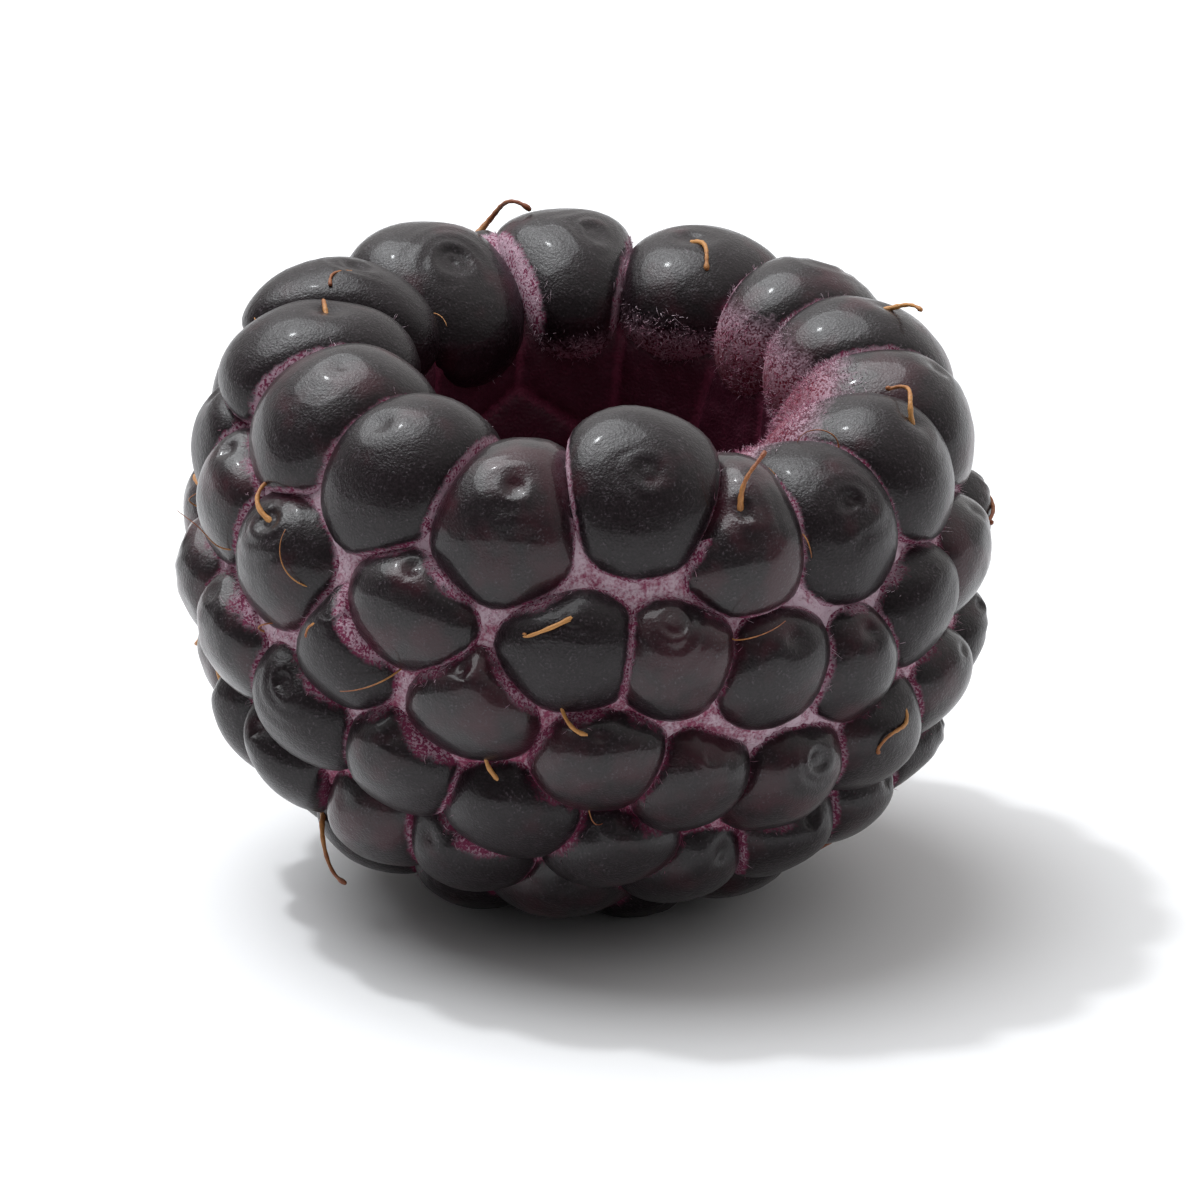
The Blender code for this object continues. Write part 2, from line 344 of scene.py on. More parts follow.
def ball_directions(rows, columns, crowding):
    """Spokes of a unit ball: first the crown's, then ring by ring, then the root's."""
    down = math.pi * (np.arange(1, rows) / rows) ** crowding
    down, turn = np.meshgrid(down, turns_round(columns), indexing="ij")
    rings = on_ring(turn, np.sin(down), np.cos(down))
    return np.concatenate([[[0, 0, 1.0]], rings.reshape(-1, 3), [[0, 0, -1.0]]])


def loads(rays, rooms):
    """How hard each ray pushes at the planes: its part along each normal / room, to the power, summed."""
    part = np.maximum(np.einsum("igx,ikx->igk", rays, plane_normals), 0) / rooms[:, None, :]
    return (part**SOFTNESS).sum(axis=2)


column_turns = turns_round(COLUMNS)
wide_room = dot(plane_points - (crowns - ROOM_DEPTH * axes)[:, None], plane_normals) - gaps / 2
wide_room = np.where(room < NO_PLANE, np.maximum(wide_room, ROOM_LIMITS[0]), NO_PLANE)
half_width = loads(circle(column_turns, across, along), wide_room) ** (-1 / SOFTNESS)
tuck = RIM_TUCK * np.where(on_rim, np.clip((math.pi / 2 - ts) / TUCK_SPAN, *TUCK_LIMITS), 0)
half_width = np.minimum(half_width, ROOM_LIMITS[1] - tuck[:, None] * np.sin(column_turns))
spectrum = np.fft.rfft(half_width, axis=1)
spectrum[:, ROOM_WAVES + 1 :] = 0
half_width = FULLNESS * np.fft.irfft(spectrum, n=COLUMNS, axis=1)
pole_width = half_width[:, :1]
half_width = np.concatenate([pole_width, np.tile(half_width, ROWS - 1), pole_width], axis=1)

directions = ball_directions(ROWS, COLUMNS, ROW_CROWDING)
spokes = directions[None, :, :1] * across[:, None] + directions[None, :, 1:2] * along[:, None]
spokes = half_width[..., None] * spokes
spokes = spokes + reach[:, None, None] * directions[None, :, 2:] * axes[:, None]
load = loads(spokes, room)
press = load / (1 + load)
skins = centres[:, None] + spokes * ((1 + load) ** (-1 / SOFTNESS))[..., None]
print("a drupelet's skin has", directions.shape[0], "points")

# %% [markdown]
# On top of the pressed shape come a few slow dents, fine wrinkles on some, a dimple round the scar where
# the style grew, and faint creases about it. All of them fade where the skin is pressed on a neighbour.

# %% Dents, dimples and creases
DENT_DEPTH = 0.022
DENT_SIZE = 1.9
WRINKLE_DEPTH = 0.012
WRINKLE_SIZE = 0.65
LUMP_SHIFT = 50.0
DRUPELET_RADIUS = 1.50
SCAR_TILTS = (6.0, 22.0)
SCAR_TURN_SPREAD = 70.0
DIMPLE_DEPTHS = (0.02, 0.17)
DIMPLE_WIDTH = 0.26
CREASE_DEPTH = 0.030
CREASE_LENGTH = 0.30
CREASE_REACH = 0.80
CREASE_WANDER = 2.0
WANDER_SIZE = 1.5

rng = np.random.default_rng(SEED + 1)
dimple_depth = rng.uniform(*DIMPLE_DEPTHS, DRUPELET_COUNT)
crease_depth = CREASE_DEPTH * rng.uniform(0, 1, DRUPELET_COUNT) ** 2
scar_tilt = np.radians(rng.uniform(*SCAR_TILTS, DRUPELET_COUNT))
scar_turn = np.radians(90 + rng.uniform(-SCAR_TURN_SPREAD, SCAR_TURN_SPREAD, DRUPELET_COUNT))
tones = rng.uniform(0, 1, DRUPELET_COUNT)
shifted = skins + rng.uniform(-LUMP_SHIFT, LUMP_SHIFT, (DRUPELET_COUNT, 1, 3))

scars = on_ring(scar_turn, np.sin(scar_tilt), np.cos(scar_tilt))
from_scar = DRUPELET_RADIUS * np.linalg.norm(directions[None] - scars[:, None], axis=2)
dents = DENT_DEPTH * waves(shifted, DENT_SIZE, seed=11)
wrinkles = WRINKLE_DEPTH * tones[:, None] ** 2 * waves(shifted, WRINKLE_SIZE, seed=13)
dimples = -dimple_depth[:, None] * np.exp(-((from_scar / DIMPLE_WIDTH) ** 2))
wander = CREASE_WANDER * waves(skins, WANDER_SIZE, seed=12)
creases = np.cos(2 * math.pi * from_scar / CREASE_LENGTH + wander)
creases = crease_depth[:, None] * creases * np.exp(-((from_scar / CREASE_REACH) ** 2))
skins = skins + unit(spokes) * ((dents + wrinkles + dimples + creases) * (1 - press))[..., None]
print("the dimples are", dimple_depth.min().round(2), "to", dimple_depth.max().round(2), "mm deep")

# %% [markdown]
# The finish will want each point's distance to the felt in the seams: to the nearest of the planes or to
# the top of the felt, whichever is less. The felt lies a fixed depth under the outline of the crowns, and
# deeper at the crest, where the rim's drupelets part. In the mouth there is no felt below, so the rim's
# drupelets measure only to each other there.

# %% How far each point is from the felt
FELT_DEPTH = 0.68
CREST_SINK = 0.38


def felt_depth(t):
    """How deep the felt lies under the crowns' outline at t: more by the sink * (share of the way up)^3."""
    return FELT_DEPTH + CREST_SINK * np.clip(t / (math.pi / 2), 0, 1) ** 3


def height_over_felt(points):
    """How high each point lies over the felt: the felt's depth less its own, square to the outline."""
    turn, t = back_to_envelope(points.reshape(-1, 3))
    slope_radius, slope_height = envelope_slope(t)
    over = on_ring(turn, *envelope(t))
    depth = dot(over - points.reshape(-1, 3), on_ring(turn, slope_height, -slope_radius))
    return (felt_depth(t) - depth).reshape(points.shape[:-1])


sink = dot(crowns[:, None] - skins, axes[:, None])
to_planes = np.einsum("ikx,ikx->ik", plane_points, plane_normals)[:, None]
to_planes = to_planes - np.einsum("igx,ikx->igk", skins, plane_normals)
in_mouth = on_rim[:, None] & (directions[:, 1] > 0)
no_plane = (room == NO_PLANE)[:, None] | in_mouth[..., None] & ~on_rim[near][:, None]
to_seam = np.where(no_plane, NO_PLANE, to_planes).min(axis=2)
to_felt = np.minimum(to_seam, np.where(in_mouth, NO_PLANE, height_over_felt(skins)))
print("the deepest point is", sink.max().round(1), "mm below its crown")

# %% [markdown]
# Two things change slowly over the berry: how pale the felt is and how far up the rim's flanks the bloom
# in the mouth reaches.

# %% Slow changes over the berry
PALENESS = 0.60
PALER_PER_MM = 0.07
PALENESS_SPREAD = 0.25
PALE_PATCH = 8.0
BLOOM_TURN = math.radians(30.0)
BLOOM_SWING = 0.7
BLOOM_SPREAD = 0.15
BLOOM_PATCH = 3.0


def paleness(points):
    """How pale the felt is, from 0 to 1: paler towards the rim, with slow noise."""
    noise = PALENESS_SPREAD * waves(points, PALE_PATCH, seed=23)
    return np.clip(PALENESS + PALER_PER_MM * points[..., 2] + noise, 0, 1)


def bloom(points):
    """How far up the mouth's flanks the bloom reaches, from 0 to 1: highest at one turn about the axis."""
    turn = np.arctan2(points[..., 1], points[..., 0])
    noise = BLOOM_SPREAD * waves(points, BLOOM_PATCH, seed=24)
    return np.clip(0.5 + BLOOM_SWING * np.cos(turn - BLOOM_TURN) + noise, 0, 1)


# %% [markdown]
# ## How the berry lies
#
# The berry is soft, and it leans: the tip stays where it is and each level is turned a little further
# than the one below, up to the rim. Its lowest drupelets are pressed flat on the table. Pushing the
# points that would be under the table straight up to it does that, with a rounded corner where the skin
# leaves the table.

# %% Lean the berry and press it on the table
LEAN = math.radians(6.0)
LEAN_TOWARDS = math.radians(-37.0)
FLAT_DEPTH = 0.28
PRESS_ROUNDING = 0.05


def leaned(points):
    """Turned about the widest ring's centre by the lean times the share of the height reached."""
    share = np.clip((points[..., 2] + TIP_DEPTH) / (TIP_DEPTH + CREST_HEIGHT), 0, 1)
    angle = LEAN * share
    towards = np.array((math.cos(LEAN_TOWARDS), math.sin(LEAN_TOWARDS), 0.0))
    along_lean = points @ towards
    height = points[..., 2]
    moved = along_lean * np.cos(angle) + height * np.sin(angle)
    bent = points + (moved - along_lean)[..., None] * towards
    bent[..., 2] = height * np.cos(angle) - along_lean * np.sin(angle)
    return bent


whole = leaned(skins).reshape(-1, 3)
whole_low, whole_high = whole.min(axis=0), whole.max(axis=0)
middle = (whole_low + whole_high) / 2
floor_shift = np.array([-middle[0], -middle[1], -whole_low[2] - FLAT_DEPTH])


def laid(points):
    """Leaned points in the frame's place, with height h raised to (h + sqrt(h^2 + rounding^2)) / 2."""
    placed = leaned(points) + floor_shift
    height = placed[..., 2]
    placed[..., 2] = (height + np.sqrt(height**2 + PRESS_ROUNDING**2)) / 2
    return placed


def laid_direction(points, directions):
    """Directions carried along with their points: the difference of two laid points, made length 1."""
    step = 0.01
    return unit(leaned(points + step * directions) - leaned(points))


laid_skins = laid(skins)
print("the skin's top is", (laid_skins[..., 2].max() - berry_high[2]).round(2), "mm over the solid's")

# %% [markdown]
# ## From numbers to meshes
#
# Every piece of this berry is a ball to a topologist: a drupelet, the wall of flesh, a hair and a
# thread all have a first pole, rings round them and a last pole. So one function makes every mesh. It
# closes each form with a fan of triangles at its poles and lays four-cornered faces between its rings.
# The volume it prints is worked out from the faces, and is positive only when they point outwards.

# %% One function that makes every mesh


def fan_and_ring_faces(rings, columns):
    """Corner numbers of one closed form: the first fan, the faces between rings, the last fan."""
    column = np.arange(columns)
    after = (column + 1) % columns
    start = 1 + columns * np.arange(rings)[:, None]
    quads = np.stack(
        [start[:-1] + column, start[1:] + column, start[1:] + after, start[:-1] + after], axis=-1
    ).reshape(-1, 4)
    first = np.stack([0 * column, 1 + column, 1 + after], axis=-1)
    last_start = 1 + columns * (rings - 1)
    pole = 1 + columns * rings
    last = np.stack([last_start + after, last_start + column, pole + 0 * column], axis=-1)
    return np.concatenate([first, last]), quads


def closed_forms(name, points, rings, columns, body="root", **values):
    """A mesh object of closed forms, from an array [form, point, x y z] and a value for each point.

    Forms that dip under the table are left out.
    """
    above = points[..., 2].min(axis=1) > 0
    values = {key: np.broadcast_to(value, points.shape[:2])[above] for key, value in values.items()}
    points = points[above]
    triangles, quads = fan_and_ring_faces(rings, columns)
    first = points.shape[1] * np.arange(points.shape[0])[:, None, None]
    triangles = (triangles + first).reshape(-1, 3)
    quads = (quads + first).reshape(-1, 4)
    mesh = bpy.data.meshes.new(name)
    mesh.vertices.add(points.shape[0] * points.shape[1])
    mesh.vertices.foreach_set("co", (points * MM).astype(np.float32).ravel())
    corners = np.concatenate([triangles.ravel(), quads.ravel()])
    mesh.loops.add(len(corners))
    mesh.loops.foreach_set("vertex_index", corners.astype(np.int32))
    mesh.polygons.add(len(triangles) + len(quads))
    starts = np.concatenate(
        [3 * np.arange(len(triangles)), 3 * len(triangles) + 4 * np.arange(len(quads))]
    )
    mesh.polygons.foreach_set("loop_start", starts.astype(np.int32))
    mesh.update(calc_edges=True)
    mesh.validate()
    mesh.shade_smooth()
    for key, value in values.items():
        layer = mesh.attributes.new(key, "FLOAT", "POINT")
        layer.data.foreach_set("value", value.astype(np.float32).ravel())
    piece = bpy.data.objects.new(name, mesh)
    bpy.context.scene.collection.objects.link(piece)
    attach(piece, body)
    flat = points.reshape(-1, 3)
    fans = np.concatenate([triangles, quads[:, [0, 1, 2]], quads[:, [0, 2, 3]]])
    a, b, c = flat[fans[:, 0]], flat[fans[:, 1]], flat[fans[:, 2]]
    volume = dot(a, np.cross(b, c)).sum() / 6
    print(f"{name}: {len(fans)} triangles round {volume:.3f} cubic mm")
    return piece


# %% [markdown]
# The drupelets go into three pieces, so that no mesh is too heavy to open by itself: the ring on the
# rim, those above the widest ring and those below it. Each point carries what its skin will need to
# know: how far it is from the felt, how far it lies below its crown, what tone its drupelet has, and how
# strong the bloom and how pale the felt are there.

# %% Make the drupelets
groups = {
    "rim_drupelets": on_rim,
    "upper_drupelets": ~on_rim & (ts > 0),
    "lower_drupelets": ~on_rim & (ts <= 0),
}
drupelet_pieces = []
for name, chosen in groups.items():
    piece = closed_forms(
        name, laid_skins[chosen], ROWS - 1, COLUMNS,
        to_felt=to_felt[chosen], sink=sink[chosen], tone=tones[chosen][:, None],
        bloom=bloom(skins[chosen]), pale=paleness(skins[chosen]),
    )
    drupelet_pieces.append(piece)
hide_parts("berry")

# %% [markdown]
# ## The flesh between the drupelets
#
# Under the drupelets is a wall that they all grow from. Outside, it shows only at the bottom of the
# seams, as a pale pink felt. Inside, it is the lining of the hollow, quilted with the marks of the
# drupelets' roots. Both are one surface turned about the axis: up the outside, over the rim, and down
# into the pit. Its profile is sampled evenly along its length.

# %% The wall of flesh
WALL_ROWS = 190
WALL_COLUMNS = 300
RIM_SAMPLES = 120
PIT_SAMPLES = 300
FELT_ROUGHNESS = 0.030
FELT_GRAIN = 0.45
FINE_GRAIN = 0.22
QUILT_DEPTH = 0.14
QUILT_WIDTH = 0.25
ROOT_SINK = 0.20


def wall_profile():
    """Radius and height from the outer tip over the rim to the pit's bottom, evenly spaced."""
    t = np.linspace(-math.pi / 2, math.pi / 2, PROFILE_SAMPLES)
    radius, height = envelope(t)
    slope_radius, slope_height = envelope_slope(t)
    depth = felt_depth(t)
    outside = np.stack([radius - depth * slope_height, height + depth * slope_radius], axis=1)
    top_radius, top_height = outside[-1]
    angle = np.linspace(0, math.pi / 2, RIM_SAMPLES)[1:]
    rim_radius = top_radius - (top_radius - NECK_RADIUS) * np.sin(angle)
    rim_height = NECK_HEIGHT + (top_height - NECK_HEIGHT) * np.cos(angle)
    rim = np.stack([rim_radius, rim_height], axis=1)
    inside = np.stack(pit_outline(np.linspace(0, 1, PIT_SAMPLES)[1:]), axis=1)
    outline = np.concatenate([outside, rim, inside])
    outline[[0, -1], 0] = 0.0
    length = np.concatenate([[0], np.cumsum(np.linalg.norm(np.diff(outline, axis=0), axis=1))])
    even = np.linspace(0, length[-1], WALL_ROWS + 1)
    over_the_rim = np.interp(even, length, np.arange(len(outline)) >= len(outside) + len(angle) / 2)
    profile = np.stack([np.interp(even, length, outline[:, n]) for n in (0, 1)], axis=1)
    return profile, over_the_rim


profile, is_inside = wall_profile()
normals_out = unit(np.gradient(profile, axis=0)) @ np.array([[0.0, -1.0], [1.0, 0.0]])
wall_turns = -turns_round(WALL_COLUMNS)


def turned(radius, height):
    """The profile's rings about the axis, with a single point for each pole."""
    rings = on_ring(wall_turns[None, :], radius[1:-1, None], height[1:-1, None])
    poles = on_ring(np.zeros(2), radius[[0, -1]], height[[0, -1]])
    return np.concatenate([poles[:1], rings.reshape(-1, 3), poles[1:]])


def spread_rows(values):
    """A value for each row of the profile, repeated for every point of its ring."""
    return np.concatenate([values[:1], np.repeat(values[1:-1], WALL_COLUMNS), values[-1:]])


wall = turned(profile[:, 0], profile[:, 1])
wall_normals = turned(profile[:, 0] + normals_out[:, 0], profile[:, 1] + normals_out[:, 1]) - wall
inside_share = spread_rows(is_inside)
from_roots = np.linalg.norm(wall[:, None] - (roots - ROOT_SINK * axes)[None], axis=2)
nearest, second_nearest = np.sort(from_roots, axis=1)[:, :2].T
quilt = 1 - np.exp(-(second_nearest - nearest) / QUILT_WIDTH)
relief = FELT_ROUGHNESS * waves(wall, FELT_GRAIN, seed=21)
relief = relief + 0.5 * FELT_ROUGHNESS * waves(wall, FINE_GRAIN, seed=22)
relief = relief * (1 - 0.5 * inside_share) + QUILT_DEPTH * quilt * inside_share
wall = wall + relief[:, None] * wall_normals
flesh = closed_forms(
    "flesh", laid(wall)[None], WALL_ROWS - 1, WALL_COLUMNS,
    inside=inside_share[None], quilt=quilt[None], pale=paleness(wall)[None],
)

# %% [markdown]
# ## Hairs
#
# The felt in the seams is a mat of very short hairs. Some root on the flesh and some on the drupelets'
# own edges, and more of them stand on the sides of the rim's drupelets, where they face into the mouth.
# A hair here is a three-sided thread with two rings and a point, twelve triangles, because there are
# thousands of them. On the flesh they root where the seams are: the distance from a point to the nearest
# seam is its distance to the nearest plane of the drupelet that holds it.

# %% Measure the distance to the seams
HOLDERS = 6
NEAR_SEAM = 0.15


def seam_distance(points):
    """How far each point is inside the drupelet that holds it: the distance to its nearest plane."""
    distance = np.linalg.norm(points[:, None] - bodies[None], axis=2)
    holders = np.argpartition(distance, HOLDERS, axis=1)[:, :HOLDERS]
    offsets = points[:, None, None] - plane_points[holders]
    return -dot(offsets, plane_normals[holders]).max(axis=2).min(axis=1)


wall_seam = seam_distance(wall)
near_share = float((wall_seam < NEAR_SEAM).mean())
print(round(100 * near_share), "percent of the wall is within", NEAR_SEAM, "mm of a seam")

# %% [markdown]
# A hair's path is a straight start plus a sideways drift that grows with the square of the way along
# it. The rings stand square to its start and shrink towards the point. Hairs root inside the cells of a
# surface's grid and not at its corners, where they would stand in rows.

# %% Functions for hairs
HAIR_RADIUS = 0.006
HAIR_TAPER = 0.4
HAIR_STEPS = np.array([0.0, 0.55])
HAIR_SIDES = 3
HAIR_DRIFT = 0.45
TINT_SPREAD = 0.45


def in_cells(points, columns, picked, rng):
    """Spots beside the picked points: p + u * (next on its ring - p) + v * (next ring - p)."""
    form, number = np.divmod(picked, points.shape[1])
    ring, column = np.divmod(number - 1, columns)
    beside = points[form, 1 + ring * columns + (column + 1) % columns]
    below = points[form, np.minimum(number + columns, points.shape[1] - 1)]
    here = points[form, number]
    u, v = rng.random((2, len(picked), 1))
    return here + u * (beside - here) + v * (below - here)


def hairs(name, starts, directions, lengths, rng, **values):
    """Closed threads from start to start + direction * length, bent by a drift times (way along)^2."""
    count = len(starts)
    drift = HAIR_DRIFT * rng.normal(size=(count, 3)) * lengths[:, None]
    side = unit(np.cross(directions, rng.normal(size=(count, 3))))
    other = np.cross(directions, side)
    spokes = circle(-turns_round(HAIR_SIDES), side, other)
    straight = directions * lengths[:, None]
    steps = HAIR_STEPS[:, None]
    path = starts[:, None] + straight[:, None] * steps + drift[:, None] * steps**2
    radius = HAIR_RADIUS * (1 - HAIR_TAPER * HAIR_STEPS)
    rings = path[:, :, None] + radius[:, None, None] * spokes[:, None]
    tips = starts + straight + drift
    bases = starts - HAIR_RADIUS * directions
    points = np.concatenate([bases[:, None], rings.reshape(count, -1, 3), tips[:, None]], axis=1)
    return closed_forms(name, points, len(HAIR_STEPS), HAIR_SIDES, **values)


def grown_hairs(name, points, columns, outward, weights, pale, count, lengths, spread, seed):
    """Hairs over a grid: weights say how likely each point is a root, and each aim is spread a little."""
    rng = np.random.default_rng(seed)
    picked = rng.choice(len(weights), count, p=weights / weights.sum())
    starts = in_cells(points, columns, picked, rng)
    aims = unit(outward[picked] + spread * rng.normal(size=(count, 3)))
    tint = np.clip(pale[picked] + rng.uniform(-TINT_SPREAD, TINT_SPREAD, count), 0, 1)[:, None]
    lengths = rng.uniform(*lengths, count)
    return hairs(name, laid(starts), laid_direction(starts, aims), lengths, rng, tint=tint)


# %% Hairs in the seams
FELT_HAIR_COUNT = 10500
EDGE_HAIR_COUNT = 10500
SEAM_HAIR_WIDTH = 0.20
EDGE_HAIR_WIDTH = 0.07
EDGE_DEPTH_LIMITS = (0.15, 0.85)

felt_weights = np.hypot(wall[:, 0], wall[:, 1]) * np.exp(-((wall_seam / SEAM_HAIR_WIDTH) ** 2))
felt_weights = felt_weights * (inside_share < 0.5)
felt_hairs = grown_hairs(
    "felt_hairs", wall[None], WALL_COLUMNS, wall_normals, felt_weights, paleness(wall),
    count=FELT_HAIR_COUNT, lengths=(0.06, 0.18), spread=1.0, seed=31,
)

outward = np.repeat(axes, len(directions), axis=0)
ring_size = np.hypot(directions[:, 0], directions[:, 1])
in_reach = (sink.ravel() > EDGE_DEPTH_LIMITS[0]) * (sink.ravel() < EDGE_DEPTH_LIMITS[1])
edge_weights = np.tile(ring_size, DRUPELET_COUNT) * np.exp(-((to_felt.ravel() / EDGE_HAIR_WIDTH) ** 2))
edge_hairs = grown_hairs(
    "edge_hairs", skins, COLUMNS, outward, edge_weights * in_reach, paleness(skins).ravel(),
    count=EDGE_HAIR_COUNT, lengths=(0.05, 0.15), spread=0.6, seed=33,
)

# %% Hairs on the rim's inner flanks
MOUTH_HAIR_COUNT = 14500
DEEPEST_HAIR = 3.6
BLOOM_RISE = 0.9
HAIR_LINE = 1.9
HAIR_LINE_SPAN = 0.8
UPPER_SHARE = 0.5
FLANK_MARGIN = 0.1
PATCH_SIZE = 1.3
PATCH_MEAN = 0.55
PATCH_SPREAD = 0.6
LEAST_PATCH = 0.05
LEAST_BLOOM = 0.2
LINE_TINT = 1.2
TINT_FALL = 0.9

rim_skins = skins[on_rim]
rim_points = rim_skins.reshape(-1, 3)
rim_sink = sink[on_rim].ravel()
rim_spokes = unit(spokes[on_rim].reshape(-1, 3))
inward = -unit(rim_points * [1, 1, 0])
faces_mouth = dot(rim_spokes, inward) + UPPER_SHARE * rim_spokes[:, 2] + FLANK_MARGIN
rim_bloom = bloom(rim_skins).ravel()
hair_line = np.clip((rim_sink + BLOOM_RISE * rim_bloom - HAIR_LINE) / HAIR_LINE_SPAN, 0, 1)
patches = np.clip(PATCH_MEAN + PATCH_SPREAD * waves(rim_points, PATCH_SIZE, seed=44), LEAST_PATCH, 1)
mouth_weights = np.tile(ring_size, RIM_COUNT) * (rim_sink < DEEPEST_HAIR)
mouth_weights = mouth_weights * np.clip(faces_mouth, 0, 1) * hair_line
mouth_weights = mouth_weights * (LEAST_BLOOM + rim_bloom) * patches
mouth_hairs = grown_hairs(
    "mouth_hairs", rim_skins, COLUMNS, rim_spokes, mouth_weights, LINE_TINT - TINT_FALL * hair_line,
    count=MOUTH_HAIR_COUNT, lengths=(0.03, 0.12), spread=0.6, seed=41,
)

# %% [markdown]
# ## Dried styles and threads
#
# A style is the thread that carried pollen to each drupelet when it was part of a flower. Most have
# fallen off by the time the berry is ripe. The rest have dried to orange-brown curls that lie on the
# skin. Thinner threads, the rest of the flower, stay caught in the seams and stick out of them. Both
# curl: the heading turns as the thread goes, faster and faster, so its path is the running sum of the
# cosine and sine of that heading. A style starts at its scar, standing out from the skin.

# %% A function for curls
CURL_STEPS = 26
CURL_POWER = 1.3
DEEPEST_CURL = 0.15
SIDE_SWAY = 0.10
SWAY_TURNS = (2, 7)
way = np.linspace(0, 1, CURL_STEPS)


def curls(roots, upward, rng, lengths, rises, bends):
    """Paths from their roots, and the direction square to each: the heading is rise - bend * way^power.

    The length in mm and the rise and the bend in degrees are drawn between two limits each.
    """
    length = rng.uniform(*lengths, len(roots))[:, None]
    rise = np.radians(rng.uniform(*rises, len(roots)))[:, None]
    bend = np.radians(rng.uniform(*bends, len(roots)))[:, None]
    sideways = unit(np.cross(upward, rng.normal(size=upward.shape)))
    bystander = np.cross(upward, sideways)
    heading = rise - bend * way**CURL_POWER
    step = length / (CURL_STEPS - 1)
    go_side = np.cumsum(np.cos(heading) * step, axis=1) - step
    go_up = np.maximum(np.cumsum(np.sin(heading) * step, axis=1) - step, -DEEPEST_CURL)
    go_by = SIDE_SWAY * length * np.sin(way * rng.uniform(*SWAY_TURNS, (len(roots), 1)))
    paths = roots[:, None] + go_side[..., None] * sideways[:, None]
    paths = paths + go_up[..., None] * upward[:, None] + go_by[..., None] * bystander[:, None]
    print(f"{len(paths)} curls, {length.min():.1f} to {length.max():.1f} mm long")
    return paths, bystander


# %% Curl the styles
STYLE_COUNT = 40
STYLE_SINK = 0.05

rng = np.random.default_rng(51)
owners = rng.permutation(DRUPELET_COUNT)[:STYLE_COUNT]
scar_points = skins[owners, from_scar[owners].argmin(axis=1)]
upward = unit(scar_points - centres[owners])
style_roots = scar_points - STYLE_SINK * upward
style_paths, style_sides = curls(
    style_roots, upward, rng, lengths=(0.8, 1.7), rises=(20, 55), bends=(50, 150)
)

# %% Curl the threads in the seams
THREAD_COUNT = 28

rng = np.random.default_rng(61)
picked = rng.choice(len(wall), THREAD_COUNT, p=felt_weights / felt_weights.sum())
thread_roots = wall[picked]
thread_paths, thread_sides = curls(
    thread_roots, wall_normals[picked], rng, lengths=(0.9, 1.8), rises=(60, 110), bends=(30, 220)
)

# %% [markdown]
# A tube along a path needs a pair of directions square to it at every step. One of them is the path's
# heading crossed with a fixed side direction, and the other is the heading crossed with that. The
# style tapers from a small collar to a thin neck, and its dried stigma makes a knob at the end.

# %% A function for tubes


def tube_points(paths, radii, sides, reference):
    """Rings of radius r square to each path, plus a pole at each end."""
    heading = unit(np.gradient(paths, axis=1))
    first = unit(np.cross(heading, reference[:, None]))
    spokes = circle(-turns_round(sides), first, np.cross(heading, first))
    rings = paths[:, :, None] + radii[..., None, None] * spokes
    start = paths[:, :1] - 0.5 * radii[:, :1, None] * heading[:, :1]
    end = paths[:, -1:] + 0.5 * radii[:, -1:, None] * heading[:, -1:]
    return np.concatenate([start, rings.reshape(len(paths), -1, 3), end], axis=1)


def curled_tubes(name, roots, paths, side_directions, radii, sides, rng):
    """A tube along each path, with the way along it and a tint of its own."""
    points = tube_points(laid(paths), radii, sides, laid_direction(roots, side_directions))
    ways = np.concatenate([[0], np.repeat(way, sides), [1]])
    tints = rng.uniform(0, 1, len(paths))[:, None]
    return closed_forms(name, points, CURL_STEPS, sides, way=ways[None], tint=tints)


# %% Tubes along the styles and threads
STYLE_RADIUS = 0.034
COLLAR_SWELL = 0.030
KNOB_SWELL = 0.020
KNOB_PLACE = 0.95
KNOB_LENGTH = 0.05
STYLE_RIPPLE = 0.10
RIPPLE_TURNS = (20, 60)
STYLE_WIDTHS = (0.8, 1.2)
STYLE_TUBE_SIDES = 7
THREAD_RADIUS = 0.020
THREAD_TAPER = 0.6
THREAD_WIDTHS = (0.8, 1.3)
THREAD_TUBE_SIDES = 5

knob = KNOB_SWELL * np.exp(-(((way - KNOB_PLACE) / KNOB_LENGTH) ** 2))
radii = STYLE_RADIUS + COLLAR_SWELL * (1 - way) ** 2 + knob
radii = radii * rng.uniform(*STYLE_WIDTHS, (STYLE_COUNT, 1))
radii = radii * (1 + STYLE_RIPPLE * np.sin(way * rng.uniform(*RIPPLE_TURNS, (STYLE_COUNT, 1))))
styles = curled_tubes("styles", style_roots, style_paths, style_sides, radii, STYLE_TUBE_SIDES, rng)

radii = THREAD_RADIUS * (1 - THREAD_TAPER * way) * rng.uniform(*THREAD_WIDTHS, (THREAD_COUNT, 1))
threads = curled_tubes("threads", thread_roots, thread_paths, thread_sides, radii, THREAD_TUBE_SIDES, rng)

# %% [markdown]
# ## Materials
#
# A material is a small program of nodes. Written as one, it reads like sums: a wire is a socket that
# can be added, taken away and multiplied, and each such sum adds a Math node. All other nodes come from
# one method, which takes the kind of node, its settings and what its sockets hold.

# %% Sums with sockets


class Wire:
    """A socket in a material, which sums treat as a number."""

    def __init__(self, finish, socket):
        self.finish = finish
        self.socket = socket

    def maths(self, operation, first, second):
        """What a Math node makes of the two values."""
        return self.finish.add("ShaderNodeMath", {"operation": operation}, {0: first, 1: second})

    def __add__(self, other):
        return self.maths("ADD", self, other)

    def __sub__(self, other):
        return self.maths("SUBTRACT", self, other)

    def __rsub__(self, other):
        return self.maths("SUBTRACT", other, self)

    def __mul__(self, other):
        return self.maths("MULTIPLY", self, other)

    __radd__ = __add__
    __rmul__ = __mul__


